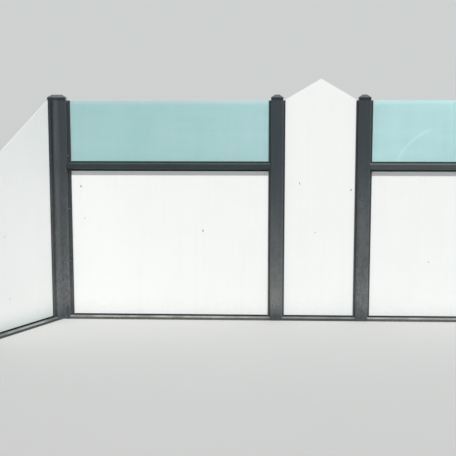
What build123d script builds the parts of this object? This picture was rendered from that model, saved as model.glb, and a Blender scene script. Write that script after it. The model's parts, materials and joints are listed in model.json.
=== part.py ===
"""Terrace privacy screen in five bays: two sloping wings, two glass-topped bays and a gable bay.

Millimetres. +X runs along the row, +Y points away from the front, +Z is up.
The origin is the middle of the left middle post's foot.
Each wing bends forward out of the row, and each bay hangs between two hollow posts.
"""
from build123d import *
from math import cos, radians, sin, tan
import os

# Heights above the ground
screen_height = 1800.0      # top of the glass, of the side channels and of the high wing edge
wing_low_height = 1212.0    # top of a wing at its outer end
gable_step = 7.0            # the gable's shoulders stand this much over the channels
gable_pitch = 30.2          # slope of the gable's two free edges, degrees
mid_rail_centre = 1270.0    # height of the middle of the mid rail

# Clear widths between posts
glass_bay_width = 1659.0
gable_bay_width = 600.0
wing_width = 900.0
wing_bend = 64.0            # turn of each wing out of the row, degrees

# Hollow posts
post_width = 100.0
post_depth = 70.0
post_wall = 3.0
post_radius = 12.0
post_rise = 2.0             # the hollow section ends this much over the channels
corner_row_arm = 74.0       # from the bend to the end of a corner post's arm along the row
corner_wing_arm = 90.0      # from the bend to the end of its arm along the wing
corner_crease = 4.0         # radius of the inner crease of a corner post
least_radius = 1.0          # smallest edge radius of a section that is drawn inwards

# Caps with a plug inside the post
cap_edge = 22.0             # height of the cap's upright edge
cap_rise = 22.0             # from the upright edge to the top of the cap
cap_hip = 32.0              # how far the sloping faces run in
cap_wall = 3.0
cap_plug = 14.0             # how far the plug reaches down
cap_fit = 0.3               # play between the plug and the post
cap_seam = 0.3              # play between the cap and the post's end
cap_groove = 3.5            # depth and height of the shadow groove over the seam

# Feet inside the posts
foot_fit = 0.3              # play between a foot and its post
foot_height = 60.0
foot_wall = 4.0
foot_plate = 8.0
anchor_radius = 5.5
anchor_inset = 22.0         # from the end of a post's section to an anchor hole

# Side channels on the posts
channel_proud = 16.0
channel_depth = 26.0
channel_wall = 3.0
corner_stem = 16.0          # on a corner post the channel stands off on a stem this long
stem_depth = 14.0

# Boards and panes
sheet_thickness = 8.0
sheet_end_gap = 2.0         # from the edge of a sheet to the bottom of its side channel
glass_arris = 1.0           # bevel along a pane's top edge

# Rails
rail_depth = 64.0
rail_wall = 2.5
rail_bevel = 11.0           # height of the sloping face on each side of a slot
rail_lip = 3.0              # flat beside the slot, at the top of the slope
mid_rail_face = 34.0        # upright face of the mid rail
bottom_rail_face = 20.0     # upright face of the bottom rail
slot_depth = 14.0
notch_gap = 0.3             # between a rail and the side channel it passes

# Black gaskets that grip the sheets
gasket_stand = 12.0         # how far a rail's gasket stands out of its slot
gasket_lip = 1.5            # thickness of its lip at the tip
gasket_end_gap = 1.0        # between a rail's gasket and the side channel

sheet_half = sheet_thickness / 2
slot_half = channel_depth / 2 - channel_wall
post_top = screen_height + post_rise
bend = radians(wing_bend)

os.makedirs("parts", exist_ok=True)


def save(name, solids):
    """Write one named piece, which may hold several solids that don't touch."""
    solids = solids if isinstance(solids, list) else [solids]
    piece = solids[0] if len(solids) == 1 else Compound(children=solids)
    export_step(piece, "parts/%s.step" % name)


def box(low, high):
    """Block between two corners."""
    size = [b - a for a, b in zip(low, high)]
    return Pos(*low) * Box(*size, align=(Align.MIN, Align.MIN, Align.MIN))


def ring_face(points, radii):
    """Closed outline through the points, with its own radius at each corner."""
    face = make_face(Polyline(*points, close=True))
    for point, radius in zip(points, radii):
        corner = face.vertices().sort_by_distance((point[0], point[1], 0))[0]
        face = fillet(corner, radius)
    return face


def straight_outline(inset):
    """Section of a straight post, drawn in by the inset."""
    radius = max(post_radius - inset, least_radius)
    return RectangleRounded(post_width - 2 * inset, post_depth - 2 * inset, radius)


def corner_outline(inset, side):
    """Section of a corner post: two arms that meet at the bend. side is 1 on the left, -1 on the right."""
    half = post_depth / 2 - inset
    row = corner_row_arm - inset
    wing = corner_wing_arm - inset
    along = (-cos(bend), -sin(bend))
    front = (sin(bend), -cos(bend))
    mitre = half * tan(bend / 2)
    points = [
        (row, half),
        (-mitre, half),
        (along[0] * wing - front[0] * half, along[1] * wing - front[1] * half),
        (along[0] * wing + front[0] * half, along[1] * wing + front[1] * half),
        (mitre, -half),
        (row, -half),
    ]
    radius = max(post_radius - inset, least_radius)
    crease = corner_crease + inset
    points = [(side * x, y) for x, y in points]
    return ring_face(points, [radius, radius, radius, radius, crease, radius])


def hollow_post(outline, height):
    """Extruded post, open at both ends."""
    return extrude(outline(0), height) - extrude(outline(post_wall), height)


def post_cap(outline, height):
    """Hipped cap that ends flush with the post, with a shadow groove and a plug inside the post."""
    base = height + cap_seam
    eave = base + cap_edge
    edge = Pos(0, 0, base) * extrude(outline(0), cap_edge)
    groove = extrude(outline(0), cap_groove) - extrude(outline(cap_groove), cap_groove)
    hips = loft([Pos(0, 0, eave) * outline(0), Pos(0, 0, eave + cap_rise) * outline(cap_hip)], ruled=True)
    plug_inset = post_wall + cap_fit
    plug_base = height - cap_plug
    plug = Pos(0, 0, plug_base) * extrude(outline(plug_inset), cap_plug + cap_seam)
    pocket = Pos(0, 0, plug_base) * extrude(outline(plug_inset + cap_wall), eave - cap_wall - plug_base)
    return edge - Pos(0, 0, base) * groove + hips + plug - pocket


def post_foot(outline, anchors):
    """Cup inside the post's lower end that is bolted down through two anchor holes."""
    gap = post_wall + foot_fit
    cup = extrude(outline(gap), foot_height)
    cup -= Pos(0, 0, foot_plate) * extrude(outline(gap + foot_wall), foot_height)
    for x, y in anchors:
        cup -= Pos(x, y, foot_plate / 2) * Cylinder(anchor_radius, 2 * foot_plate)
    return cup


def side_channel(height, stem):
    """Upright channel on a post's side at x = 0, open towards +x, behind a stem where it has one."""
    half = channel_depth / 2
    mouth = stem + channel_proud
    channel = box((stem, -half, 0), (mouth, half, height))
    channel -= box((stem + channel_wall, -slot_half, 0), (mouth, slot_half, height))
    if stem > 0:
        channel += box((0, -stem_depth / 2, 0), (stem, stem_depth / 2, height))
    return channel


def channel_gaskets(height, stem):
    """Front and back gasket strips in the side channel at x = 0."""
    low = (stem + channel_wall, sheet_half, 0)
    front = box(low, (stem + channel_proud, slot_half, height))
    return [front, mirror(front, Plane.XZ)]


def rail_half_outline(face, chamber):
    """Upper half of a rail's section as (y, z) points from the middle of its upright face."""
    inset = rail_wall if chamber else 0
    outer = rail_depth / 2 - inset
    inner = slot_half + rail_lip
    slope_run = rail_depth / 2 - inner
    slope = rail_bevel / slope_run
    drop = inset * (1 + slope ** 2) ** 0.5
    edge = face - drop + slope * inset
    if chamber:
        left = slot_half + rail_wall
        return [(left, inset), (outer, inset), (outer, edge), (left, edge + slope * (outer - left))]
    return [(0, 0), (outer, 0), (outer, face), (inner, face + rail_bevel), (0, face + rail_bevel)]


def rail_length(outline, width):
    """Extrude a (y, z) outline along the bay."""
    return extrude(Plane.YZ * make_face(Polyline(*outline, close=True)), width)


def rail_quarter(face, width):
    """Front upper part of a rail, hollow, with half of its slot cut away."""
    solid = rail_length(rail_half_outline(face, False), width)
    solid -= rail_length(rail_half_outline(face, True), width)
    floor = face + rail_bevel - slot_depth
    return solid - box((0, 0, floor), (width, slot_half, face + rail_bevel))


def notched(rail, bay, low, high):
    """Cut a rail's ends back around the two side channels."""
    half = channel_depth / 2 + notch_gap
    for start, end in ((0, bay.left_mouth + notch_gap), (bay.right_mouth - notch_gap, bay.width)):
        rail -= box((start, -half, low), (end, half, high))
    return rail


def bottom_rail(bay):
    """Rail on the ground with one slot, open upwards."""
    front = rail_quarter(bottom_rail_face, bay.width)
    rail = front + mirror(front, Plane.XZ)
    return notched(rail, bay, 0, bottom_rail_face + rail_bevel)


def mid_rail(bay):
    """Rail between board and pane, with a slot above and one below."""
    front = rail_quarter(mid_rail_face / 2, bay.width)
    upper = front + mirror(front, Plane.XZ)
    rail = upper + mirror(upper, Plane.XY)
    reach = mid_rail_face / 2 + rail_bevel
    return Pos(0, 0, mid_rail_centre) * notched(rail, bay, -reach, reach)


def rail_gaskets(bay, floor, direction):
    """Front and back strips in a rail's slot, with a lip that stands out upwards (1) or downwards (-1)."""
    mouth = floor + direction * slot_depth
    tip = mouth + direction * gasket_stand
    outline = [(sheet_half, floor), (slot_half, floor), (slot_half, mouth), (sheet_half + gasket_lip, tip),
               (sheet_half, tip)]
    start = bay.left_mouth + gasket_end_gap
    front = Pos(start, 0, 0) * rail_length(outline, bay.right_mouth - gasket_end_gap - start)
    return [front, mirror(front, Plane.XZ)]


def sheet(points):
    """Flat board or pane from (x, z) corners, centred on the bay's middle plane."""
    face = Plane.XZ * make_face(Polyline(*points, close=True))
    return extrude(face, sheet_half, both=True)


def pane(points):
    """Glass sheet with a bevelled top edge."""
    glass = sheet(points)
    return chamfer(glass.edges().group_by(Axis.Z)[-1], glass_arris)


bottom_floor = bottom_rail_face + rail_bevel - slot_depth
mid_floor_lift = mid_rail_face / 2 + rail_bevel - slot_depth
upper_floor = mid_rail_centre + mid_floor_lift
lower_ceiling = mid_rail_centre - mid_floor_lift


class Bay:
    """Clear width between two posts, with the places along it where channels and sheets end."""

    def __init__(self, width, left_stem, right_stem):
        self.width = width
        self.stems = (left_stem, right_stem)
        self.left_mouth = left_stem + channel_proud
        self.right_mouth = width - right_stem - channel_proud
        self.left_edge = left_stem + channel_wall + sheet_end_gap
        self.right_edge = width - right_stem - channel_wall - sheet_end_gap


def build_bay(name, place, bay, heights, top_points, glazed):
    """Rails, channels, gaskets and sheets of one bay between posts at x = 0 and x = bay.width."""
    far_side = Pos(bay.width, 0, 0)
    left = side_channel(heights[0], bay.stems[0])
    right = far_side * mirror(side_channel(heights[1], bay.stems[1]), Plane.YZ)
    gaskets = channel_gaskets(heights[0], bay.stems[0])
    gaskets += [far_side * mirror(strip, Plane.YZ) for strip in channel_gaskets(heights[1], bay.stems[1])]
    gaskets += rail_gaskets(bay, bottom_floor, 1)
    save(name + "_bottom_rail", place * bottom_rail(bay))
    save(name + "_side_channels", [place * left, place * right])
    if glazed:
        gaskets += rail_gaskets(bay, lower_ceiling, -1)
        gaskets += rail_gaskets(bay, upper_floor, 1)
        save(name + "_mid_rail", place * mid_rail(bay))
        board_top = [(bay.right_edge, lower_ceiling), (bay.left_edge, lower_ceiling)]
        glass = [(bay.left_edge, upper_floor), (bay.right_edge, upper_floor), *top_points]
        save(name + "_glass", place * pane(glass))
    else:
        board_top = top_points
    foot = [(bay.left_edge, bottom_floor), (bay.right_edge, bottom_floor)]
    save(name + "_board", place * sheet([*foot, *board_top]))
    save(name + "_gaskets", [place * strip for strip in gaskets])


def glass_top(bay):
    """Level free top edge."""
    return [(bay.right_edge, screen_height), (bay.left_edge, screen_height)]


def gable_top(bay):
    """Free top edge that rises to a ridge over the middle of the bay."""
    shoulder = screen_height + gable_step
    middle = (bay.left_mouth + bay.right_mouth) / 2
    ridge = shoulder + (middle - bay.left_mouth) * tan(radians(gable_pitch))
    return [
        (bay.right_edge, screen_height),
        (bay.right_mouth, screen_height),
        (bay.right_mouth, shoulder),
        (middle, ridge),
        (bay.left_mouth, shoulder),
        (bay.left_mouth, screen_height),
        (bay.left_edge, screen_height),
    ]


def wing_top(bay):
    """Free top edge that falls from the corner post, at x = 0, to the outer end."""
    low_end = [(bay.right_edge, wing_low_height), (bay.right_mouth, wing_low_height)]
    return [*low_end, (bay.left_mouth, screen_height), (bay.left_edge, screen_height)]


# Places of the posts along the row
half_post = post_width / 2
middle_pitch = gable_bay_width + post_width
corner_pitch = half_post + glass_bay_width + corner_row_arm
left_corner = Vector(-corner_pitch, 0)
right_corner = Vector(middle_pitch + corner_pitch, 0)
left_wing_way = Vector(-cos(bend), -sin(bend))
right_wing_way = Vector(cos(bend), -sin(bend))
wing_reach = corner_wing_arm + wing_width + half_post
wing_post_top = wing_low_height + post_rise


def wing_plane(corner, way, distance):
    """Frame on a wing's middle plane, with x running outwards from the corner."""
    return Plane(origin=corner + way * distance, x_dir=way, z_dir=(0, 0, 1))


straight_anchors = [(half_post - anchor_inset, 0), (anchor_inset - half_post, 0)]


def corner_anchors(side):
    """One anchor hole in each arm of a corner post."""
    row = corner_row_arm - anchor_inset
    wing = corner_wing_arm - anchor_inset
    return [(side * row, 0), (-side * cos(bend) * wing, -sin(bend) * wing)]


def build_post(name, place, outline, anchors, height):
    """Post, cap and foot at one place."""
    save(name, place * hollow_post(outline, height))
    save(name + "_cap", place * post_cap(outline, height))
    save(name + "_foot", place * post_foot(outline, anchors))


def left_outline(inset):
    """Section of the left corner post."""
    return corner_outline(inset, 1)


def right_outline(inset):
    """Section of the right corner post."""
    return corner_outline(inset, -1)


build_post("end_post_left", wing_plane(left_corner, left_wing_way, wing_reach).location,
           straight_outline, straight_anchors, wing_post_top)
build_post("corner_post_left", Pos(left_corner), left_outline, corner_anchors(1), post_top)
build_post("middle_post_left", Pos(0, 0, 0), straight_outline, straight_anchors, post_top)
build_post("middle_post_right", Pos(middle_pitch, 0, 0), straight_outline, straight_anchors, post_top)
build_post("corner_post_right", Pos(right_corner), right_outline, corner_anchors(-1), post_top)
build_post("end_post_right", wing_plane(right_corner, right_wing_way, wing_reach).location,
           straight_outline, straight_anchors, wing_post_top)

wing_bay = Bay(wing_width, corner_stem, 0)
left_glass_bay = Bay(glass_bay_width, corner_stem, 0)
right_glass_bay = Bay(glass_bay_width, 0, corner_stem)
gable_bay = Bay(gable_bay_width, 0, 0)
wing_heights = (screen_height, wing_low_height)
full_heights = (screen_height, screen_height)

for wing, corner, way in (("wing_left", left_corner, left_wing_way), ("wing_right", right_corner, right_wing_way)):
    wing_place = wing_plane(corner, way, corner_wing_arm).location
    build_bay(wing, wing_place, wing_bay, wing_heights, wing_top(wing_bay), False)

build_bay("glass_bay_left", Pos(left_corner.X + corner_row_arm, 0, 0), left_glass_bay,
          full_heights, glass_top(left_glass_bay), True)
build_bay("gable_bay", Pos(half_post, 0, 0), gable_bay,
          full_heights, gable_top(gable_bay), False)
build_bay("glass_bay_right", Pos(middle_pitch + half_post, 0, 0), right_glass_bay,
          full_heights, glass_top(right_glass_bay), True)
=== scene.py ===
"""Privacy screen: finishes, small fixings, floor, light and camera around the fixed frame.

Metres, in the frame of the part: +X along the row, +Y from the front to the back, +Z up.
"""
import json
import logging
from dataclasses import dataclass
from enum import Enum
from math import pi, radians

import bmesh
import bpy
import numpy as np
from mathutils import Euler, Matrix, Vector


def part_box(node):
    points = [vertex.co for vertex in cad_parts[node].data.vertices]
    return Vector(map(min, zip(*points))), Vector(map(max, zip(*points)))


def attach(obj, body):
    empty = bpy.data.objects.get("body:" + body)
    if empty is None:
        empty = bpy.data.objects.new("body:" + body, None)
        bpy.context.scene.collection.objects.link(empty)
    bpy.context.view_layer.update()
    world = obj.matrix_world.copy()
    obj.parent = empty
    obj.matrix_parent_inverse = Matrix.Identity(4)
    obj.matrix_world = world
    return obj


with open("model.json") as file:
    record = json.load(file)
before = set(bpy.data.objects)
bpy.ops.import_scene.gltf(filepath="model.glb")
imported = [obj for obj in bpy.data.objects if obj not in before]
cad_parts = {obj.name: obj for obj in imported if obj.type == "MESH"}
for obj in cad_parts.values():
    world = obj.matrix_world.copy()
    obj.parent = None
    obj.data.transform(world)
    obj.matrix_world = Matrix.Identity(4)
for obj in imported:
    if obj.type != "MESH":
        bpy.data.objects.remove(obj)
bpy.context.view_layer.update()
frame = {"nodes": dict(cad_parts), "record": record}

log = logging.getLogger("privacy_screen")

Colour = tuple[float, float, float]
Point = tuple[float, float, float]
Span = tuple[float, float]      # where something begins and where it is whole
Socket = bpy.types.NodeSocket

ROOT = "root"
ABOVE_ALL = 9.0                 # a height over the whole part
WING_TO_ROW = (-0.12, -0.06)    # depths between which a wing passes into the row
MARK_EDGE = (1.15, 0.7)         # shares of a mark's reach at which it begins and is whole


class Slot(Enum):
    """Material slots of the record."""

    POST = "post_coating"
    CAP = "cap_coating"
    RAIL = "rail_coating"
    CHANNEL = "channel_coating"
    BOARD = "white_board"
    GLASS = "frosted_glass"
    GASKET = "gasket_rubber"
    METAL = "foot_metal"


@dataclass(frozen=True)
class Mark:
    """Small stain, scuff or speck: an uneven oval at a place on the part."""

    centre: Point
    reach: Point                # half widths along x, y and z
    strength: float = 0.8
    grain: float = 220.0        # waves of its uneven edge in a metre
    ragged: float = 0.9         # how uneven it is; a high value breaks it into flecks


class Graph:
    """Node tree of one material, with short calls for the nodes that the finishes use."""

    def __init__(self, name: str) -> None:
        """Start a tree with a Principled shader on its output.

        Args:
            name: the material's name.
        """
        self.material = bpy.data.materials.new(name)
        self.material.use_nodes = True
        self.tree = self.material.node_tree
        self.tree.nodes.clear()
        self.shader = self.add("ShaderNodeBsdfPrincipled")
        output = self.add("ShaderNodeOutputMaterial")
        self.tree.links.new(self.shader.outputs["BSDF"], output.inputs["Surface"])
        self.place = self.add("ShaderNodeTexCoord").outputs["Object"]
        split = self.add("ShaderNodeSeparateXYZ", Vector=self.place)
        self.x, self.y, self.z = split.outputs

    def add(self, kind: str, settings: dict | None = None, **inputs: object) -> bpy.types.Node:
        """Add a node.

        Args:
            kind: the node's type.
            settings: values for the node's own properties.
            inputs: a number, colour or socket for each named input, with _ for a space.

        Returns:
            The new node.
        """
        node = self.tree.nodes.new(kind)
        for key, value in (settings or {}).items():
            setattr(node, key, value)
        for key, value in inputs.items():
            self.feed(node.inputs[key.replace("_", " ")], value)
        return node

    def feed(self, target: Socket, value: object) -> None:
        """Link a socket to an input, or set the input's own value.

        Args:
            target: the input.
            value: a socket, a number, or a colour of three numbers.
        """
        if isinstance(value, Socket):
            self.tree.links.new(value, target)
        elif isinstance(value, tuple) and target.type == "RGBA":
            target.default_value = (*value, 1.0)
        else:
            target.default_value = value

    def math(self, operation: str, first: object, second: object = 0.0, clamp: bool = False) -> Socket:
        """One sum of two numbers or sockets.

        Args:
            operation: Blender's name of the sum.
            first: the first number or socket.
            second: the second one.
            clamp: whether the result stays between 0 and 1.

        Returns:
            The socket with the result.
        """
        node = self.add("ShaderNodeMath", {"operation": operation, "use_clamp": clamp})
        self.feed(node.inputs[0], first)
        self.feed(node.inputs[1], second)
        return node.outputs[0]

    def times(self, *factors: object) -> Socket:
        """Product of two or more numbers or sockets.

        Args:
            factors: the numbers or sockets, with a socket first.

        Returns:
            The socket with the product.
        """
        product = factors[0]
        for factor in factors[1:]:
            product = self.math("MULTIPLY", product, factor)
        return product

    def line(self, value: Socket, factor: object, offset: float) -> Socket:
        """Value times a factor, plus an offset."""
        return self.math("ADD", self.math("MULTIPLY", value, factor), offset)

    def ramp(self, value: Socket, low: float, high: float, start: float = 0.0, end: float = 1.0) -> Socket:
        """Turn a value between low and high smoothly into one between start and end.

        Args:
            value: the socket to read.
            low: value at which the result is start; it may be the larger one.
            high: value at which the result is end.
            start: result at low and beyond it.
            end: result at high and beyond it.

        Returns:
            The socket with the result.
        """
        if low > high:
            low, high, start, end = high, low, end, start
        node = self.add("ShaderNodeMapRange", {"interpolation_type": "SMOOTHSTEP"}, Value=value,
                        From_Min=low, From_Max=high, To_Min=start, To_Max=end)
        return node.outputs["Result"]

    def growing_down(self, begin: float, whole: float, bend: float) -> Socket:
        """Share that grows from 0 at one height to 1 at a lower one, with most of it low down.

        Args:
            begin: height at which it begins.
            whole: lower height at which it is 1, as it is below.
            bend: power that holds it back higher up.

        Returns:
            The socket with the share.
        """
        share = self.add("ShaderNodeMapRange", Value=self.z, From_Min=begin, From_Max=whole)
        return self.math("POWER", share.outputs["Result"], bend)

    def by_side(self, wing: float, row: float) -> Socket:
        """One value on the wings, which stand in front of the row, and another on the row."""
        return self.ramp(self.y, *WING_TO_ROW, wing, row)

    def noise(self, scale: float, detail: float = 2.0, stretch: Point = (1.0, 1.0, 1.0),
              roughness: float = 0.5) -> Socket:
        """Noise on object coordinates.

        Args:
            scale: how many waves there are in a metre, about.
            detail: how many finer layers are added.
            stretch: factor on the coordinates; a small one draws the pattern out along that axis.
            roughness: how strong the finer layers are.

        Returns:
            The socket with the noise, which lies around 0.5.
        """
        mapping = self.add("ShaderNodeMapping", Vector=self.place, Scale=stretch)
        node = self.add("ShaderNodeTexNoise", Vector=mapping.outputs[0], Scale=scale, Detail=detail,
                        Roughness=roughness)
        return node.outputs[0]

    def grains(self, scale: float, size: float, share: float, shift: Point) -> Socket:
        """Small round grains in a share of the cells of a random grid.

        Args:
            scale: cells in a metre.
            size: radius of a grain as a share of its cell.
            share: share of the cells that hold a grain.
            shift: offset that moves the pattern on the part.

        Returns:
            The socket with 1 on a grain and 0 elsewhere.
        """
        mapping = self.add("ShaderNodeMapping", Vector=self.place, Location=shift)
        cells = self.add("ShaderNodeTexVoronoi", Vector=mapping.outputs[0], Scale=scale)
        split = self.add("ShaderNodeSeparateColor", Color=cells.outputs["Color"])
        chosen = self.math("LESS_THAN", split.outputs[0], share)
        return self.times(self.ramp(cells.outputs["Distance"], size, size * 0.5), chosen)

    def blend(self, factor: object, first: object, second: object) -> Socket:
        """Mix two colours.

        Args:
            factor: 0 for the first colour and 1 for the second.
            first: a colour or socket.
            second: a colour or socket.

        Returns:
            The socket with the mixed colour.
        """
        node = self.add("ShaderNodeMix", {"data_type": "RGBA"})
        self.feed(node.inputs[0], factor)
        self.feed(node.inputs[6], first)
        self.feed(node.inputs[7], second)
        return node.outputs[2]

    def upward(self) -> Socket:
        """How far the surface looks up: 1 on a level top, 0 on an upright face."""
        normal = self.add("ShaderNodeNewGeometry").outputs["Normal"]
        return self.add("ShaderNodeSeparateXYZ", Vector=normal).outputs[2]

    def near(self, mark: Mark) -> Socket:
        """Mask of one mark: its strength inside the uneven oval and 0 outside.

        Args:
            mark: the mark's place and size.

        Returns:
            The socket with the mask.
        """
        scale = tuple(1.0 / r for r in mark.reach)
        moved = tuple(-c * s for c, s in zip(mark.centre, scale))
        shares = self.add("ShaderNodeMapping", Vector=self.place, Location=moved, Scale=scale)
        away = self.add("ShaderNodeVectorMath", {"operation": "LENGTH"}, Vector=shares.outputs[0])
        uneven = self.line(self.noise(mark.grain), mark.ragged, -0.5 * mark.ragged)
        edge = self.math("ADD", away.outputs["Value"], uneven)
        return self.ramp(edge, *MARK_EDGE, 0.0, mark.strength)

    def rise(self, height: Socket, distance: float, strength: float) -> None:
        """Feed a height pattern into the shader as relief.

        Args:
            height: the socket with the pattern.
            distance: depth of the pattern in metres.
            strength: share of that depth which is used.
        """
        bump = self.add("ShaderNodeBump", Height=height, Distance=distance, Strength=strength)
        self.tree.links.new(bump.outputs[0], self.shader.inputs["Normal"])

    def finish(self, colour: Socket, roughness: Socket) -> bpy.types.Material:
        """Feed the shader's colour and roughness.

        Args:
            colour: the socket with the colour.
            roughness: the socket with the roughness.

        Returns:
            The finished material.
        """
        self.feed(self.shader.inputs["Base Color"], colour)
        self.feed(self.shader.inputs["Roughness"], roughness)
        return self.material

    def set(self, **values: object) -> None:
        """Set constants on the shader's own sockets, with _ for a space in a name."""
        for key, value in values.items():
            self.feed(self.shader.inputs[key.replace("_", " ")], value)


@dataclass(frozen=True)
class PowderCoat:
    """Satin anthracite powder coat that carries pale dust towards the ground and on its upper faces; on the rails
    that pale colour on the upper faces is also a painted reflection of the sky.
    """

    name: str
    colour: Colour = (0.017, 0.0265, 0.0325)
    dark_tone: float = 0.84             # darkest tone of the clean coat, against its colour
    light_tone: float = 1.18            # its lightest tone
    run_waves: Point = (70.0, 70.0, 1.6)    # waves of the run marks in a metre, along each axis
    dust: Colour = (0.32, 0.316, 0.308)
    dust_height: float = 1.42           # where the dust begins
    dust_full: float = 0.24             # where it is thickest
    dust_bend: float = 1.8              # how much of it lies low down
    dust_share: float = 0.31
    foot_heights: Span = (0.015, 0.16)  # the very foot, which rain washes
    foot_dust: float = 0.3              # share of the dust that is left there
    near_far: Span = (0.1, 0.6)         # distance along the row from the left middle post
    far_share: float = 0.80             # dust away from that post, against the dust on it
    haze_share: float = 0.038           # more thin dust at hand height away from that post
    haze_above: Span = (1.52, 1.0)      # its upper end
    haze_below: Span = (0.4, 0.85)      # its lower end
    mottle: float = 0.15                # unevenness of the settled dust at the left middle post
    far_mottle: float = 0.36            # the same away from that post
    soil: Colour = (0.34, 0.30, 0.235)
    soil_share: float = 0.0             # soil splashed on the lowest few centimetres
    soil_heights: Span = (0.04, 0.005)
    ledge_dust_and_reflection: float = 0.30           # dust on faces that look up; on the rails also a painted reflection of the sky
    ledge_slope: Span = (0.2, 0.65)     # how far up such a face looks
    ledge_height: float = ABOVE_ALL     # ledges over this height are clean
    ledge_lip: float = ABOVE_ALL        # top of a sloping ledge, where less of the pale colour lies
    lip_depth: float = 0.006            # how far down from its top
    lip_share: float = 0.3               # share of the pale colour that is left there
    wing_ledge: float = 0.78            # pale colour on the wings' ledges, against the row's
    wing_soil: float = 0.25             # soil on the wings, against the row's
    roughness: float = 0.33
    dusty_roughness: float = 0.45       # how much rougher full dust is
    cloudy_roughness: float = 0.06      # how much the roughness varies over the coat
    gloss: float = 0.6
    sheen: float = 0.15
    sheen_spread: float = 0.55
    sheen_tint: Colour = (0.85, 0.93, 1.0)
    # pale marks: scuffs, and on the posts also a painted reflection of the bright boards on the wing arms
    scuffs_and_reflections: tuple[Mark, ...] = ()
    # marks that take dust and soil away: stains, and on the rails also painted shade
    stains_and_shade: tuple[Mark, ...] = ()

    def material(self) -> bpy.types.Material:
        """Build the coat: clouds and run marks in the tone, dust, scuffs, stains and painted shade, painted
        reflections on the wing arms and the rails' ledges, fine orange peel.

        Returns:
            The finished material.
        """
        g = Graph(self.name)
        clouds = g.noise(scale=2.6, detail=4.0)
        runs = g.noise(scale=1.0, detail=3.0, stretch=self.run_waves)
        dust = g.math("ADD", self.settled(g, runs), self.on_ledges(g), clamp=True)
        soil = self.splashed(g, runs)
        # scuffs, and the painted reflections on the wing arms
        for pale_mark in self.scuffs_and_reflections:
            dust = g.math("MAXIMUM", dust, g.near(pale_mark))
        # stains, and on the rails painted shade, take dust and soil away
        for dark_mark in self.stains_and_shade:
            unmarked = g.math("SUBTRACT", 1.0, g.near(dark_mark))
            dust = g.times(dust, unmarked)
            soil = g.times(soil, unmarked)
        tone = g.math("ADD", g.times(clouds, 0.5), g.times(runs, 0.5))
        dark = tuple(c * self.dark_tone for c in self.colour)
        light = tuple(c * self.light_tone for c in self.colour)
        coat = g.blend(g.ramp(tone, 0.35, 0.65), dark, light)
        g.rise(g.noise(scale=620.0), distance=0.0002, strength=0.14)
        g.set(Specular_IOR_Level=self.gloss, Sheen_Weight=self.sheen, Sheen_Roughness=self.sheen_spread,
              Sheen_Tint=self.sheen_tint)
        dusty = g.line(dust, self.dusty_roughness, self.roughness - 0.5 * self.cloudy_roughness)
        rough = g.math("ADD", dusty, g.times(clouds, self.cloudy_roughness))
        return g.finish(g.blend(soil, g.blend(dust, coat, self.dust), self.soil), rough)

    def settled(self, g: Graph, runs: Socket) -> Socket:
        """Share of dust on upright faces: it grows towards the ground and thins out at the very foot.

        Args:
            g: the tree of the coat.
            runs: the pattern of run marks, which the dust follows.

        Returns:
            The socket with the share of dust.
        """
        low = g.growing_down(self.dust_height, self.dust_full, self.dust_bend)
        foot = g.ramp(g.z, *self.foot_heights, self.foot_dust, 1.0)
        patchy = g.line(g.noise(scale=11.0, detail=5.0, stretch=(1.0, 1.0, 0.45)), 0.9, 0.5)
        patchy = g.math("ADD", patchy, g.times(runs, 0.3))
        away = g.ramp(g.math("ABSOLUTE", g.x), *self.near_far)
        low = g.times(low, foot, g.line(away, self.far_share - 1.0, 1.0), self.dust_share)
        haze = g.times(g.ramp(g.z, *self.haze_above), g.ramp(g.z, *self.haze_below), away, self.haze_share)
        flecks = g.noise(scale=46.0, detail=4.0, stretch=(1.0, 1.0, 0.7))
        flecks = g.ramp(flecks, 0.34, 0.66, -1.0, 1.0)
        depth = g.line(away, self.far_mottle - self.mottle, self.mottle)
        return g.times(g.math("ADD", low, haze), patchy, g.line(g.times(flecks, depth), 1.0, 1.0))

    def splashed(self, g: Graph, runs: Socket) -> Socket:
        """Share of soil that rain has splashed on the lowest few centimetres, less on the wings.

        Args:
            g: the tree of the coat.
            runs: the pattern of run marks, which the soil follows.

        Returns:
            The socket with the share of soil.
        """
        side = g.by_side(self.wing_soil, 1.0)
        low = g.ramp(g.z, *self.soil_heights)
        return g.times(low, g.ramp(runs, 0.3, 0.7, 0.7, 1.2), side, self.soil_share)

    def on_ledges(self, g: Graph) -> Socket:
        """Share of pale colour on the faces that look up, in drifts: dust, and on the rails also a painted
        reflection of the sky, with less of it at the lip.

        Args:
            g: the tree of the coat.

        Returns:
            The socket with the share of dust.
        """
        # dust, and on the rails a painted reflection, on the faces that look up
        level = g.ramp(g.upward(), *self.ledge_slope)
        reach = g.ramp(g.z, self.ledge_height, 0.5 * self.ledge_height)
        darker_lip = g.ramp(g.z, self.ledge_lip, self.ledge_lip - self.lip_depth, self.lip_share, 1.0)
        drift = g.ramp(g.noise(scale=5.0, detail=6.0, roughness=0.62), 0.36, 0.62, 0.45, 1.25)
        side = g.by_side(self.wing_ledge, 1.0)
        return g.times(level, reach, darker_lip, drift, side, self.ledge_dust_and_reflection)


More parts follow.
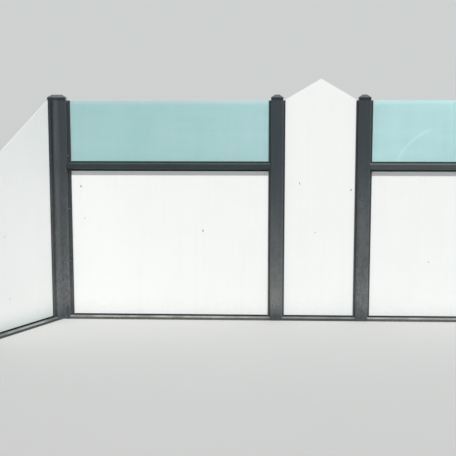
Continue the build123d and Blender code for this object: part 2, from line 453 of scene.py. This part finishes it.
@dataclass(frozen=True)
class WhiteBoard:
    """Smooth white compact board with faint rain marks and a few dark specks."""

    name: str
    colour: Colour = (0.905, 0.915, 0.91)
    film: Colour = (0.76, 0.78, 0.78)
    film_share: float = 0.09            # grey film in clouds and streaks
    mottle_share: float = 0.08          # the same film in small patches
    soil: Colour = (0.50, 0.47, 0.42)
    soil_share: float = 0.10
    soil_heights: Span = (0.30, 0.03)
    speck: Colour = (0.12, 0.12, 0.11)
    dot_share: float = 0.7              # strength of the finest specks, which lie at random
    edge_dirt: Colour = (0.50, 0.50, 0.475)
    edge_share: float = 0.8             # dirt on the edges that look up
    edge_slope: Span = (0.25, 0.6)
    foot_darkening: Colour = (0.50, 0.60, 0.58)
    foot_low: float = 0.055             # height at which the darkening towards the foot is strongest
    foot_high: float = 0.24             # height at which it has faded out
    foot_bend: float = 2.6              # how much of it lies low down
    foot_share: float = 0.65
    foot_row: float = 0.3               # the darkening on the row's boards, against the wings'
    specks: tuple[Mark, ...] = ()

    def material(self) -> bpy.types.Material:
        """Build the board: a thin grey film in clouds and streaks, darker towards the foot, soil low down, specks.

        Returns:
            The finished material.
        """
        g = Graph(self.name)
        clouds = g.ramp(g.noise(scale=3.2, detail=5.0), 0.38, 0.68)
        streaks = g.ramp(g.noise(scale=1.0, detail=4.0, stretch=(34.0, 34.0, 1.1)), 0.45, 0.75)
        film = g.times(g.math("ADD", clouds, streaks), self.film_share)
        colour = g.blend(film, self.colour, self.film)
        mottle = g.ramp(g.noise(scale=95.0, detail=3.0), 0.3, 0.7, 0.0, self.mottle_share)
        colour = g.blend(mottle, colour, self.film)
        splash = g.ramp(g.z, *self.soil_heights)
        patches = g.ramp(g.noise(scale=26.0, detail=5.0), 0.45, 0.8)
        colour = g.blend(g.times(splash, patches, self.soil_share), colour, self.soil)
        # darker towards the foot, more on the wings than on the row
        low = g.growing_down(self.foot_high, self.foot_low, self.foot_bend)
        side = g.by_side(self.foot_share, self.foot_share * self.foot_row)
        colour = g.blend(g.times(low, side), colour, self.foot_darkening)
        upper = g.ramp(g.upward(), *self.edge_slope, 0.0, self.edge_share)
        upper = g.times(upper, g.ramp(clouds, 0.0, 1.0, 0.7, 1.0))
        colour = g.blend(upper, colour, self.edge_dirt)
        grains = g.grains(scale=14.0, size=0.022, share=0.10, shift=(0.31, 0.0, 0.17))
        dots = g.times(grains, self.dot_share)
        for speck in self.specks:
            dots = g.math("MAXIMUM", dots, g.near(speck))
        colour = g.blend(dots, colour, self.speck)
        g.rise(g.noise(scale=340.0), distance=0.00015, strength=0.12)
        return g.finish(colour, g.line(clouds, 0.08, 0.36))


@dataclass(frozen=True)
class FrostedGlass:
    """Satin-frosted pane, pale at its free top edge, with clouds of haze and a wiped smear; its tint is partly the
    glass's own green and partly a painted view of green surroundings seen through it.
    """

    name: str
    top: float                          # height of the free edge
    # tints and hazes: the glass's own green, and a painted view of green surroundings seen through it
    left: Colour = (0.439, 0.716, 0.714)
    right: Colour = (0.562, 0.825, 0.849)
    left_haze: Colour = (0.73, 0.84, 0.90)
    right_haze: Colour = (0.65, 0.97, 0.96)
    tint_start: float = -1.2            # x at which the left tint begins to clear
    tint_end: float = 1.3
    left_share: float = 0.45            # haze at the left, against the right
    cloud_haze: float = 0.2
    wash_haze: float = 0.14             # in upright streaks, as rain leaves it
    wipe_haze: float = 0.22             # in level streaks, as wiping leaves it
    rim: float = 0.05                   # height of the pale rim
    rim_whole: float = 0.3              # share of that height, from the top, which is palest
    rim_haze: float = 0.95
    see_through: float = 0.35
    bending: float = 1.5                # refraction index of the glass
    smear_centre: Point = (1.397, 0.0, 1.126)
    smear_radius: float = 0.472
    smear_width: float = 0.021
    smear_end: float = 1.28             # x at which it fades out
    smear_fade: float = 0.12            # length of that fading

    def material(self) -> bpy.types.Material:
        """Build the pane: rough see-through glass in a tint that clears along the row, partly its own green and
        partly painted surroundings seen through it, rim and smear.

        Returns:
            The finished material.
        """
        g = Graph(self.name)
        # tint along the row: the glass's own green plus painted surroundings seen through the pane
        clearing = g.ramp(g.x, self.tint_start, self.tint_end)
        tint = g.blend(clearing, self.left, self.right)
        clouds = g.noise(scale=4.0, detail=4.0, stretch=(1.0, 1.0, 0.5))
        wash = g.noise(scale=1.0, detail=3.0, stretch=(15.0, 15.0, 1.4))
        wiped = g.noise(scale=1.0, detail=3.0, stretch=(2.0, 2.0, 12.0))
        haze = g.ramp(clouds, 0.36, 0.66, 0.0, self.cloud_haze)
        haze = g.math("ADD", haze, g.ramp(wash, 0.42, 0.7, 0.0, self.wash_haze))
        haze = g.math("ADD", haze, g.ramp(wiped, 0.38, 0.66, 0.0, self.wipe_haze))
        along = g.line(clearing, 1.0 - self.left_share, self.left_share)
        pale = self.top - self.rim_whole * self.rim
        edge = g.ramp(g.z, self.top - self.rim, pale, 0.0, self.rim_haze)
        haze = g.times(g.math("MAXIMUM", haze, edge), along)
        haze = g.math("ADD", haze, self.smear(g), clamp=True)
        g.rise(g.noise(scale=900.0), distance=0.0001, strength=0.3)
        g.set(Transmission_Weight=self.see_through, IOR=self.bending)
        whitish = g.blend(clearing, self.left_haze, self.right_haze)
        return g.finish(g.blend(haze, tint, whitish), g.line(clouds, 0.1, 0.5))

    def smear(self, g: Graph) -> Socket:
        """Broken arc that a hand or cloth has left: a band of a circle, left of where it fades out.

        Args:
            g: the tree of the glass.

        Returns:
            The socket with the strength of the smear.
        """
        away = g.add("ShaderNodeVectorMath", {"operation": "DISTANCE"}, Vector=g.place)
        away.inputs[1].default_value = self.smear_centre
        off = g.math("ABSOLUTE", g.math("SUBTRACT", away.outputs["Value"], self.smear_radius))
        beside = g.ramp(g.x, self.smear_end, self.smear_end - self.smear_fade)
        broken = g.ramp(g.noise(scale=60.0, detail=3.0), 0.4, 0.6, 0.3, 0.8)
        return g.times(g.ramp(off, self.smear_width, 0.0), beside, broken)


@dataclass(frozen=True)
class Rubber:
    """Black gasket rubber with a little dust."""

    name: str
    colour: Colour = (0.008, 0.010, 0.011)
    dust: Colour = (0.12, 0.12, 0.115)
    patch_share: float = 0.07           # dust in patches
    low_share: float = 0.05             # more dust near the ground
    low_heights: Span = (0.12, 0.0)
    gloss: float = 0.2

    def material(self) -> bpy.types.Material:
        """Build the rubber: dark, matt, dusty in patches and near the ground.

        Returns:
            The finished material.
        """
        g = Graph(self.name)
        dust = g.ramp(g.noise(scale=22.0, detail=4.0), 0.45, 0.8, 0.0, self.patch_share)
        dust = g.math("ADD", dust, g.ramp(g.z, *self.low_heights, 0.0, self.low_share))
        g.rise(g.noise(scale=480.0), distance=0.0002, strength=0.3)
        g.set(Specular_IOR_Level=self.gloss)
        return g.finish(g.blend(dust, self.colour, self.dust), g.line(dust, 0.3, 0.65))


@dataclass(frozen=True)
class BareMetal:
    """Unpainted metal with fine drawn lines."""

    name: str
    colour: Colour = (0.62, 0.63, 0.64)
    dull_tone: float = 0.72             # its darkest tone, against its colour
    roughness: float = 0.34
    drawn_roughness: float = 0.2        # how much the roughness varies over the drawn lines
    lines: Point = (500.0, 500.0, 12.0)     # drawn lines in a metre, along each axis

    def material(self) -> bpy.types.Material:
        """Build the metal: drawn lines in the gloss and a cloudy tone.

        Returns:
            The finished material.
        """
        g = Graph(self.name)
        drawn = g.noise(scale=1.0, detail=3.0, stretch=self.lines)
        dull = tuple(c * self.dull_tone for c in self.colour)
        colour = g.blend(g.ramp(g.noise(scale=20.0, detail=4.0), 0.35, 0.7), self.colour, dull)
        g.rise(drawn, distance=0.0001, strength=0.25)
        g.set(Metallic=1.0)
        rough = g.line(drawn, self.drawn_roughness, self.roughness - 0.5 * self.drawn_roughness)
        return g.finish(colour, rough)


def grid_faces(rows: int, columns: int) -> np.ndarray:
    """Quads of a grid whose columns close round.

    Each quad joins (row, column) to the next row and the next column, counted round.

    Args:
        rows: number of rows of points.
        columns: number of points in a row.

    Returns:
        Array of four point numbers a quad.
    """
    row, column = np.meshgrid(np.arange(rows - 1), np.arange(columns), indexing="ij")
    after = (column + 1) % columns
    quads = np.stack([row * columns + column, row * columns + after,
                      (row + 1) * columns + after, (row + 1) * columns + column], axis=-1)
    return quads.reshape(-1, 4)


def piece_from(name: str, points: np.ndarray, quads: np.ndarray, material: bpy.types.Material) -> bpy.types.Object:
    """Make a closed piece that rides on the part's one body.

    Args:
        name: the piece's name.
        points: array of x, y, z.
        quads: array of four point numbers a face.
        material: its finish.

    Returns:
        The new object, at the origin, with its place in its mesh.
    """
    mesh = bpy.data.meshes.new(name)
    mesh.from_pydata(points.tolist(), [], quads.tolist())
    work = bmesh.new()
    work.from_mesh(mesh)
    bmesh.ops.remove_doubles(work, verts=work.verts, dist=1e-6)
    bmesh.ops.recalc_face_normals(work, faces=work.faces)
    work.to_mesh(mesh)
    work.free()
    mesh.materials.append(material)
    piece = bpy.data.objects.new(name, mesh)
    bpy.context.scene.collection.objects.link(piece)
    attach(piece, ROOT)
    log.info("%s: %d points, %d faces", name, len(mesh.vertices), len(mesh.polygons))
    return piece


def node_points(node: str) -> np.ndarray:
    """Points of one node of the frame.

    Args:
        node: the node's name.

    Returns:
        Array of x, y, z.
    """
    mesh = frame["nodes"][node].data
    flat = np.empty(len(mesh.vertices) * 3)
    mesh.vertices.foreach_get("co", flat)
    return flat.reshape(-1, 3)


def top_of(node: str) -> float:
    """Height of a node's highest point."""
    return float(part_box(node)[1][2])


def mount_place(name: str) -> Vector:
    """Place of one of the record's mounts."""
    found = next(m for m in frame["record"]["mounts"] if m["name"] == name)
    return Vector(found["pos_m"])


@dataclass(frozen=True)
class StemScrews:
    """Pan-head screws with a six-lobed recess, front and back, in the stems beside a corner post."""

    name: str
    channels: str                   # node of the side channels whose stem holds the screws
    corner: str                     # mount under the corner post
    far_post: str                   # mount under the post at the bay's other end
    stem: float = 0.016             # width of the stem, along the bay
    stem_half: float = 0.007        # half its depth
    head_radius: float = 0.0048
    head_height: float = 0.0028
    dome_fall: float = 0.45         # share of its height that the dome falls to its edge
    dome_rings: int = 6
    recess_radius: float = 0.0022
    recess_depth: float = 0.0018
    lobes: int = 6
    lobe_share: float = 0.16        # how far the lobes stand out, against the recess's radius
    first_height: float = 0.052
    last_drop: float = 0.012        # from the stem's top to the highest screw
    rows: int = 5
    sectors: int = 36

    def head(self) -> np.ndarray:
        """Points of one head about its own axis, as rows of rings (across, across, outwards).

        A ring of radius r lies at the height of a flat dome, h (1 - f (r / R) squared), with the head's
        height h and radius R and the dome's fall f. The recess has the radius e (1 + s cos n a) at the
        angle a, with n lobes of the share s, so its wall is the step between two rings there.

        Returns:
            Array of rings, each with a point for every sector.
        """
        angle = np.arange(self.sectors) * 2 * pi / self.sectors
        recess = self.recess_radius * (1 + self.lobe_share * np.cos(self.lobes * angle))
        shares = np.linspace(0.0, 1.0, self.dome_rings)[:, None]
        flank = recess + (self.head_radius - recess) * shares
        radii = np.vstack([0 * recess, recess, flank, flank[-1], 0 * recess])
        dome = self.head_height * (1 - self.dome_fall * (flank / self.head_radius) ** 2)
        floor = np.full((2, self.sectors), self.head_height - self.recess_depth)
        seat = np.zeros((2, self.sectors))
        heights = np.vstack([floor, dome, seat])
        return np.stack([radii * np.cos(angle), radii * np.sin(angle), heights], axis=-1)

    def build(self, material: bpy.types.Material) -> bpy.types.Object:
        """Set a head at every height on the front and back face of the stem.

        Args:
            material: the screws' finish.

        Returns:
            The joined piece.
        """
        corner = np.array(mount_place(self.corner))
        way = np.array(mount_place(self.far_post)) - corner
        way /= np.linalg.norm(way)
        across = np.array([-way[1], way[0], 0.0])
        up = np.array([0.0, 0.0, 1.0])
        points = node_points(self.channels)
        along = (points - corner) @ way
        middle = along.min() + self.stem / 2
        top = points[along < middle][:, 2].max() - self.last_drop
        head = self.head()
        rings, sectors, _ = head.shape
        heads = []
        for height in np.linspace(self.first_height, top, self.rows):
            for side in (-1, 1):
                seat = corner + way * middle + across * side * self.stem_half + up * height
                heads.append(seat + head @ np.stack([way, up, across * side]))
        steps = np.arange(len(heads)) * rings * sectors
        quads = (grid_faces(rings, sectors)[None] + steps[:, None, None]).reshape(-1, 4)
        return piece_from(self.name, np.array(heads).reshape(-1, 3), quads, material)


# Left corner post: two scuffs low down. Left middle post: a flecked patch at its foot. Right middle
# post: flecks and a small scuff. Both corner posts: a painted reflection of the bright boards, as a pale film over
# the wing arm.
POST_SCUFFS_AND_REFLECTIONS = (
    Mark((-1.752, -0.035, 0.312), (0.014, 0.02, 0.006), strength=0.55),
    Mark((-1.748, -0.035, 0.262), (0.010, 0.02, 0.004), strength=0.35),
    Mark((-0.012, -0.035, 0.20), (0.045, 0.02, 0.10), strength=0.42, grain=75.0, ragged=2.6),
    Mark((0.69, -0.035, 0.72), (0.030, 0.02, 0.30), strength=0.20, grain=70.0, ragged=3.0),
    # painted reflection: the wing arm's face on each corner post made paler, as if it mirrored the bright boards
    Mark((-1.777, -0.066, 1.20), (0.030, 0.045, 0.80), strength=0.10, grain=25.0, ragged=0.4),
    Mark((2.477, -0.066, 1.20), (0.030, 0.045, 0.80), strength=0.10, grain=25.0, ragged=0.4),
    Mark((0.742, -0.035, 0.60), (0.006, 0.02, 0.03), strength=0.25),
)
# Feet with less dust: the left corner post, on its row arm and at its bend, and the left middle post.
POST_STAINS = (
    Mark((-1.722, -0.035, 0.065), (0.022, 0.02, 0.05), strength=0.8, grain=60.0),
    Mark((-1.79, -0.04, 0.03), (0.03, 0.03, 0.035), strength=0.6, grain=60.0),
    Mark((0.0, -0.035, 0.02), (0.06, 0.02, 0.04), strength=0.6, grain=60.0),
)
# Dust along the right mid rail.
RAIL_SCUFFS = (
    Mark((1.6, 0.0, 1.27), (1.4, 0.3, 0.2), strength=0.085, grain=4.0),
)
# Less pale colour on the bottom rails' ledges: under the pointed board, and beside the left corner post, where it
# is painted shade.
RAIL_STAINS_AND_SHADE = (
    Mark((0.35, 0.0, 0.02), (0.42, 0.3, 0.2), strength=0.6, grain=12.0, ragged=0.3),
    # painted shade: the ledge beside the left corner post made darker, as if in the post's shadow
    Mark((-1.83, -0.13, 0.02), (0.07, 0.09, 0.1), strength=0.5, grain=12.0, ragged=0.3),
)
# Specks on the boards of the row, and two faint ones on the left wing.
BOARD_SPECKS = (
    Mark((-1.601, -0.004, 1.104), (0.006, 0.01, 0.010)),
    Mark((-1.573, -0.004, 0.842), (0.005, 0.01, 0.005), strength=0.5),
    Mark((-0.601, -0.004, 0.741), (0.005, 0.01, 0.013), strength=0.7),
    Mark((0.602, -0.004, 1.081), (0.006, 0.01, 0.007)),
    Mark((0.185, -0.004, 1.132), (0.005, 0.01, 0.010), strength=0.7),
    Mark((0.315, -0.004, 0.731), (0.006, 0.01, 0.005), strength=0.45),
    Mark((1.242, -0.004, 0.493), (0.007, 0.01, 0.007), strength=0.4),
    Mark((-2.071, -0.599, 0.765), (0.012, 0.014, 0.012), strength=0.12),
    Mark((-2.056, -0.569, 0.276), (0.010, 0.014, 0.014), strength=0.12),
)


class Screen:
    """The whole screen: every node of the frame in its finish, and the small fixings."""

    def __init__(self) -> None:
        """Build the finishes once."""
        post = PowderCoat("post_coat", scuffs_and_reflections=POST_SCUFFS_AND_REFLECTIONS, stains_and_shade=POST_STAINS)
        cap = PowderCoat("cap_coat", (0.008, 0.016, 0.020), ledge_dust_and_reflection=0.2, gloss=0.45)
        # the rails' pale colour on their ledges is dust and a painted reflection of the sky
        rail = PowderCoat("rail_coat", (0.021, 0.032, 0.035), dust=(0.37, 0.376, 0.378), dust_share=0.06,
                          haze_share=0.0, soil_share=0.25, ledge_dust_and_reflection=0.56, ledge_height=0.5,
                          ledge_lip=top_of("glass_bay_left_bottom_rail"), gloss=0.33, sheen=0.08,
                          scuffs_and_reflections=RAIL_SCUFFS, stains_and_shade=RAIL_STAINS_AND_SHADE)
        channel = PowderCoat("channel_coat", (0.012, 0.020, 0.025), dust_share=0.15, haze_share=0.02,
                             gloss=0.5)
        glass = FrostedGlass("glass_frosted", top_of("glass_bay_left_glass"))
        self.finishes = {
            Slot.POST: post.material(),
            Slot.CAP: cap.material(),
            Slot.RAIL: rail.material(),
            Slot.CHANNEL: channel.material(),
            Slot.BOARD: WhiteBoard("board_white", specks=BOARD_SPECKS).material(),
            Slot.GLASS: glass.material(),
            Slot.GASKET: Rubber("gasket_black").material(),
            Slot.METAL: BareMetal("foot_aluminium").material(),
        }
        steel = BareMetal("screw_steel", (0.30, 0.30, 0.295), roughness=0.42, lines=(90.0, 90.0, 90.0))
        self.screw_finish = steel.material()

    def dress(self) -> None:
        """Give each node of the frame the finish of its slot."""
        for part in frame["record"]["subparts"]:
            node = frame["nodes"][part["node"]]
            node.data.materials.clear()
            node.data.materials.append(self.finishes[Slot(part["material_slot"])])
            log.info("%s: %s", part["node"], part["material_slot"])

    def fix(self) -> None:
        """Add the screws beside both corner posts."""
        for side in ("left", "right"):
            corner = "foot_face_corner_" + side
            row = StemScrews("row_screws_" + side, "glass_bay_%s_side_channels" % side, corner,
                             "foot_face_middle_" + side)
            wing = StemScrews("wing_screws_" + side, "wing_%s_side_channels" % side, corner,
                              "foot_face_end_" + side)
            row.build(self.screw_finish)
            wing.build(self.screw_finish)


@dataclass(frozen=True)
class Studio:
    """Plain floor and soft light: one broad lamp high at the front right, and an even sky."""

    lamp_height: float = 63.0       # degrees above the ground
    lamp_turn: float = 19.0         # degrees from the front towards the right
    lamp_power: float = 4.3
    lamp_spread: float = 3.5        # degrees across, for soft shadows
    lamp_colour: Colour = (1.0, 0.985, 0.96)
    sky: Colour = (0.86, 0.93, 1.0)
    sky_power: float = 0.25
    backdrop: Colour = (0.625, 0.64, 0.64)
    floor_colour: Colour = (0.42, 0.425, 0.425)
    worn_tone: float = 0.96         # the floor's darkest tone, against its colour
    floor_half: float = 150.0

    def build(self) -> None:
        """Make the floor, the lamp and the sky."""
        self.make_floor()
        self.make_lamp()
        self.make_sky()

    def make_floor(self) -> None:
        """Lay a flat square of plain matt floor at ground level."""
        corners = np.array([[-1, -1, 0], [1, -1, 0], [1, 1, 0], [-1, 1, 0]]) * self.floor_half
        mesh = bpy.data.meshes.new("floor")
        mesh.from_pydata(corners.tolist(), [], [[0, 1, 2, 3]])
        g = Graph("floor_matt")
        worn = tuple(c * self.worn_tone for c in self.floor_colour)
        colour = g.blend(g.noise(scale=0.8, detail=3.0), self.floor_colour, worn)
        mesh.materials.append(g.finish(colour, g.line(g.noise(scale=3.0), 0.1, 0.85)))
        floor = bpy.data.objects.new("floor", mesh)
        bpy.context.scene.collection.objects.link(floor)

    def make_lamp(self) -> None:
        """Hang the broad lamp."""
        lamp = bpy.data.lights.new("key", "SUN")
        lamp.energy = self.lamp_power
        lamp.angle = radians(self.lamp_spread)
        lamp.color = self.lamp_colour
        holder = bpy.data.objects.new("key", lamp)
        holder.rotation_euler = Euler((radians(90.0 - self.lamp_height), 0.0, radians(self.lamp_turn)))
        bpy.context.scene.collection.objects.link(holder)

    def make_sky(self) -> None:
        """Light evenly from above, and show the plain backdrop to the camera, to gloss and through glass."""
        world = bpy.data.worlds.new("sky")
        world.use_nodes = True
        tree = world.node_tree
        tree.nodes.clear()
        light = tree.nodes.new("ShaderNodeBackground")
        light.inputs["Color"].default_value = (*self.sky, 1.0)
        light.inputs["Strength"].default_value = self.sky_power
        seen = tree.nodes.new("ShaderNodeBackground")
        seen.inputs["Color"].default_value = (*self.backdrop, 1.0)
        path = tree.nodes.new("ShaderNodeLightPath")
        shown = path.outputs["Is Camera Ray"]
        for ray in ("Is Glossy Ray", "Is Transmission Ray"):
            either = tree.nodes.new("ShaderNodeMath")
            either.operation = "MAXIMUM"
            tree.links.new(shown, either.inputs[0])
            tree.links.new(path.outputs[ray], either.inputs[1])
            shown = either.outputs[0]
        mixed = tree.nodes.new("ShaderNodeMixShader")
        tree.links.new(shown, mixed.inputs[0])
        tree.links.new(light.outputs[0], mixed.inputs[1])
        tree.links.new(seen.outputs[0], mixed.inputs[2])
        output = tree.nodes.new("ShaderNodeOutputWorld")
        tree.links.new(mixed.outputs[0], output.inputs["Surface"])
        bpy.context.scene.world = world


@dataclass(frozen=True)
class Viewpoint:
    """Where the photo was taken from, at a person's eye height."""

    place: Point = (-0.113, -7.337, 1.724)
    tilt: float = -7.445            # degrees above the horizon
    turn: float = 2.208             # degrees from the back towards the left
    focal_pixels: float = 903.6
    image_pixels: float = 456.0
    sensor_mm: float = 36.0
    sight: float = 500.0            # how far the camera sees

    def build(self) -> None:
        """Make the camera and make it the scene's own."""
        data = bpy.data.cameras.new("view")
        data.sensor_width = self.sensor_mm
        data.lens = self.focal_pixels * self.sensor_mm / self.image_pixels
        data.clip_end = self.sight
        camera = bpy.data.objects.new("view", data)
        camera.location = self.place
        camera.rotation_euler = Euler((radians(90.0 + self.tilt), 0.0, radians(self.turn)))
        bpy.context.scene.collection.objects.link(camera)
        bpy.context.scene.camera = camera


def main() -> None:
    """Build the view, the light and the dressed screen."""
    logging.basicConfig(level=logging.INFO, format="%(message)s")
    bpy.context.scene.view_settings.view_transform = "Standard"
    Viewpoint().build()
    Studio().build()
    screen = Screen()
    screen.dress()
    screen.fix()


if __name__ == "__main__":
    main()
